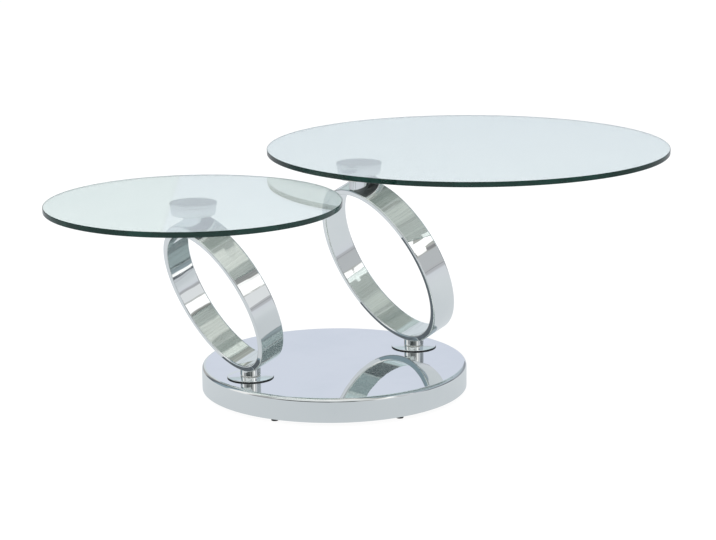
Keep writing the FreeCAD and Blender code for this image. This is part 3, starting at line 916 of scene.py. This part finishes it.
def makeRoom(tree):
    place = addNode(tree, "ShaderNodeTexCoord", (-2000, 0)).outputs["Generated"]
    split = addNode(tree, "ShaderNodeSeparateXYZ", (-1800, 0))
    tree.links.new(place, split.inputs[0])
    lean = math.radians(ring["lean"])
    along = addNode(tree, "ShaderNodeVectorMath", (-1800, 300), {
        1: (math.cos(lean), 0.0, math.sin(lean))}, operation="DOT_PRODUCT")
    tree.links.new(place, along.inputs[0])
    across = along.outputs["Value"]
    rise = mathNode(tree, "ARCSINE", (-1600, 0), split.outputs["Z"])
    degrees = mathNode(tree, "MULTIPLY", (-1400, 0), rise, 180 / math.pi)
    ragged = addNode(tree, "ShaderNodeTexNoise", (-1800, -300), roomLook["ragged"])
    tree.links.new(place, ragged.inputs["Vector"])
    shift = mapRange(tree, ragged.outputs[0], (-1600, -300), *roomLook["noiseRange"],
                     -roomLook["raggedBy"], roomLook["raggedBy"])
    height = mathNode(tree, "ADD", (-1200, 0), degrees, shift)
    angle = mathNode(tree, "ARCTAN2", (-1600, 600), split.outputs["X"], split.outputs["Y"])
    turn = mathNode(tree, "DIVIDE", (-1400, 600), angle, math.tau)
    compass = mathNode(tree, "FRACT", (-1200, 600), turn)

    room = colourRamp(tree, compass, (-1000, 600), [(stop / 360, colour) for stop, colour in walls])
    low = colourRamp(tree, compass, (-1000, 900), [(stop / 360, colour) for stop, colour in skirting])
    under = mapRange(tree, height, (-1000, 450), roomLook["skirtingTop"] - roomLook["skirtingSoft"],
                     roomLook["skirtingTop"] + roomLook["skirtingSoft"], 1.0, 0.0, smooth=True)
    room = blendColour(tree, (-850, 600), under, room, low)
    overhead = mapRange(tree, height, (-1000, 300), *roomLook["overhead"], 0.0, 1.0, smooth=True)
    room = blendColour(tree, (-700, 600), overhead, room, roomLook["ceiling"])

    sides = {}
    for side in (1, -1):
        edge = roomLook["sideSoft"] * side
        sides[side] = mapRange(tree, split.outputs["Y"], (-700, -900 - 300 * side), -edge, edge,
                               0.0, 1.0, smooth=True)
    for i, panel in enumerate(panels.values()):
        x = -400 + 260 * i
        first, last = panel["lanes"]
        upright = betweenEdges(tree, (x, -500), across, lanes[first][0], lanes[last][1], laneSoftness)
        level = betweenEdges(tree, (x, 0), height, *panel["height"], panel["soft"])
        mask = mathNode(tree, "MULTIPLY", (x, -300), upright, level)
        if panel["side"]:
            mask = mathNode(tree, "MULTIPLY", (x + 100, -900), mask, sides[panel["side"]])
        room = blendColour(tree, (x, 600), mask, room, (*panel["colour"], 1.0))

    streaked = addNode(tree, "ShaderNodeCombineXYZ", (5300, -300))
    for socket, source in (("X", across), ("Y", height), ("Z", split.outputs["Y"])):
        scaled = mathNode(tree, "MULTIPLY", (5100, -300), source, roomLook["streakScales"][socket])
        tree.links.new(scaled, streaked.inputs[socket])
    streaks = addNode(tree, "ShaderNodeTexNoise", (5500, -300), roomLook["streaks"])
    tree.links.new(streaked.outputs[0], streaks.inputs["Vector"])
    strength = mapRange(tree, streaks.outputs[0], (5700, -300), *roomLook["noiseRange"],
                        *roomLook["streakStrength"])
    high = mapRange(tree, height, (5700, -500), *roomLook["streaksFrom"], 0.0, 1.0, smooth=True)
    shade = addNode(tree, "ShaderNodeMix", (5900, -300), data_type="FLOAT")
    shade.inputs[2].default_value = 1.0
    tree.links.new(high, shade.inputs[0])
    tree.links.new(strength, shade.inputs[3])
    lit = addNode(tree, "ShaderNodeVectorMath", (6100, 0), operation="SCALE")
    tree.links.new(room, lit.inputs[0])
    tree.links.new(shade.outputs[0], lit.inputs["Scale"])
    return lit.outputs[0]


def makeWorld():
    world = bpy.data.worlds.new("studioWorld")
    scene.world = world
    tree = emptyTree(world)
    output = addNode(tree, "ShaderNodeOutputWorld", (7300, 0))
    _, direct = seenDirectly(tree, (5900, 700))
    roomLight = addNode(tree, "ShaderNodeBackground", (6800, -100), {"Strength": 1.0})
    tree.links.new(makeRoom(tree), roomLight.inputs["Color"])
    backdrop = addNode(tree, "ShaderNodeBackground", (6800, 100), {"Color": (1, 1, 1, 1), "Strength": 1.0})
    mix = addNode(tree, "ShaderNodeMixShader", (7050, 0))
    tree.links.new(direct, mix.inputs[0])
    tree.links.new(roomLight.outputs[0], mix.inputs[1])
    tree.links.new(backdrop.outputs[0], mix.inputs[2])
    tree.links.new(mix.outputs[0], output.inputs["Surface"])


lampAim = Vector((0, 0, 0.2))
lamps = {
    "overhead": {"place": (0.2, -0.4, 2.8), "size": 2.4, "watts": 60.0},
    "window": {"place": (-2.6, -1.6, 1.9), "size": 1.6, "watts": 25.0},
}


def makeLamps():
    for name, lamp in lamps.items():
        data = bpy.data.lights.new(name, "AREA")
        data.energy = lamp["watts"]
        data.size = lamp["size"]
        light = bpy.data.objects.new(name, data)
        light.location = lamp["place"]
        light.rotation_euler = (lampAim - light.location).to_track_quat("-Z", "Y").to_euler()
        light.visible_glossy = False
        light.visible_transmission = False
        scene.collection.objects.link(light)


camera = {
    "place": (-2.0195, -3.1355, 1.1),
    "heading": -33.514,
    "downward": 13.055,
    "roll": -0.55,
    "lens": 100.56,
    "sensor": 36.0,
}


def makeCamera():
    data = bpy.data.cameras.new("camera")
    data.lens = camera["lens"]
    data.sensor_width = camera["sensor"]
    eye = bpy.data.objects.new("camera", data)
    turn = (Matrix.Rotation(math.radians(camera["heading"]), 4, "Z")
            @ Matrix.Rotation(math.radians(90 - camera["downward"]), 4, "X")
            @ Matrix.Rotation(math.radians(camera["roll"]), 4, "Z"))
    eye.matrix_world = Matrix.Translation(camera["place"]) @ turn
    scene.collection.objects.link(eye)
    scene.camera = eye


makeFloor()
makeWorld()
makeLamps()
makeCamera()
scene.view_settings.view_transform = "Standard"
print("studio made")
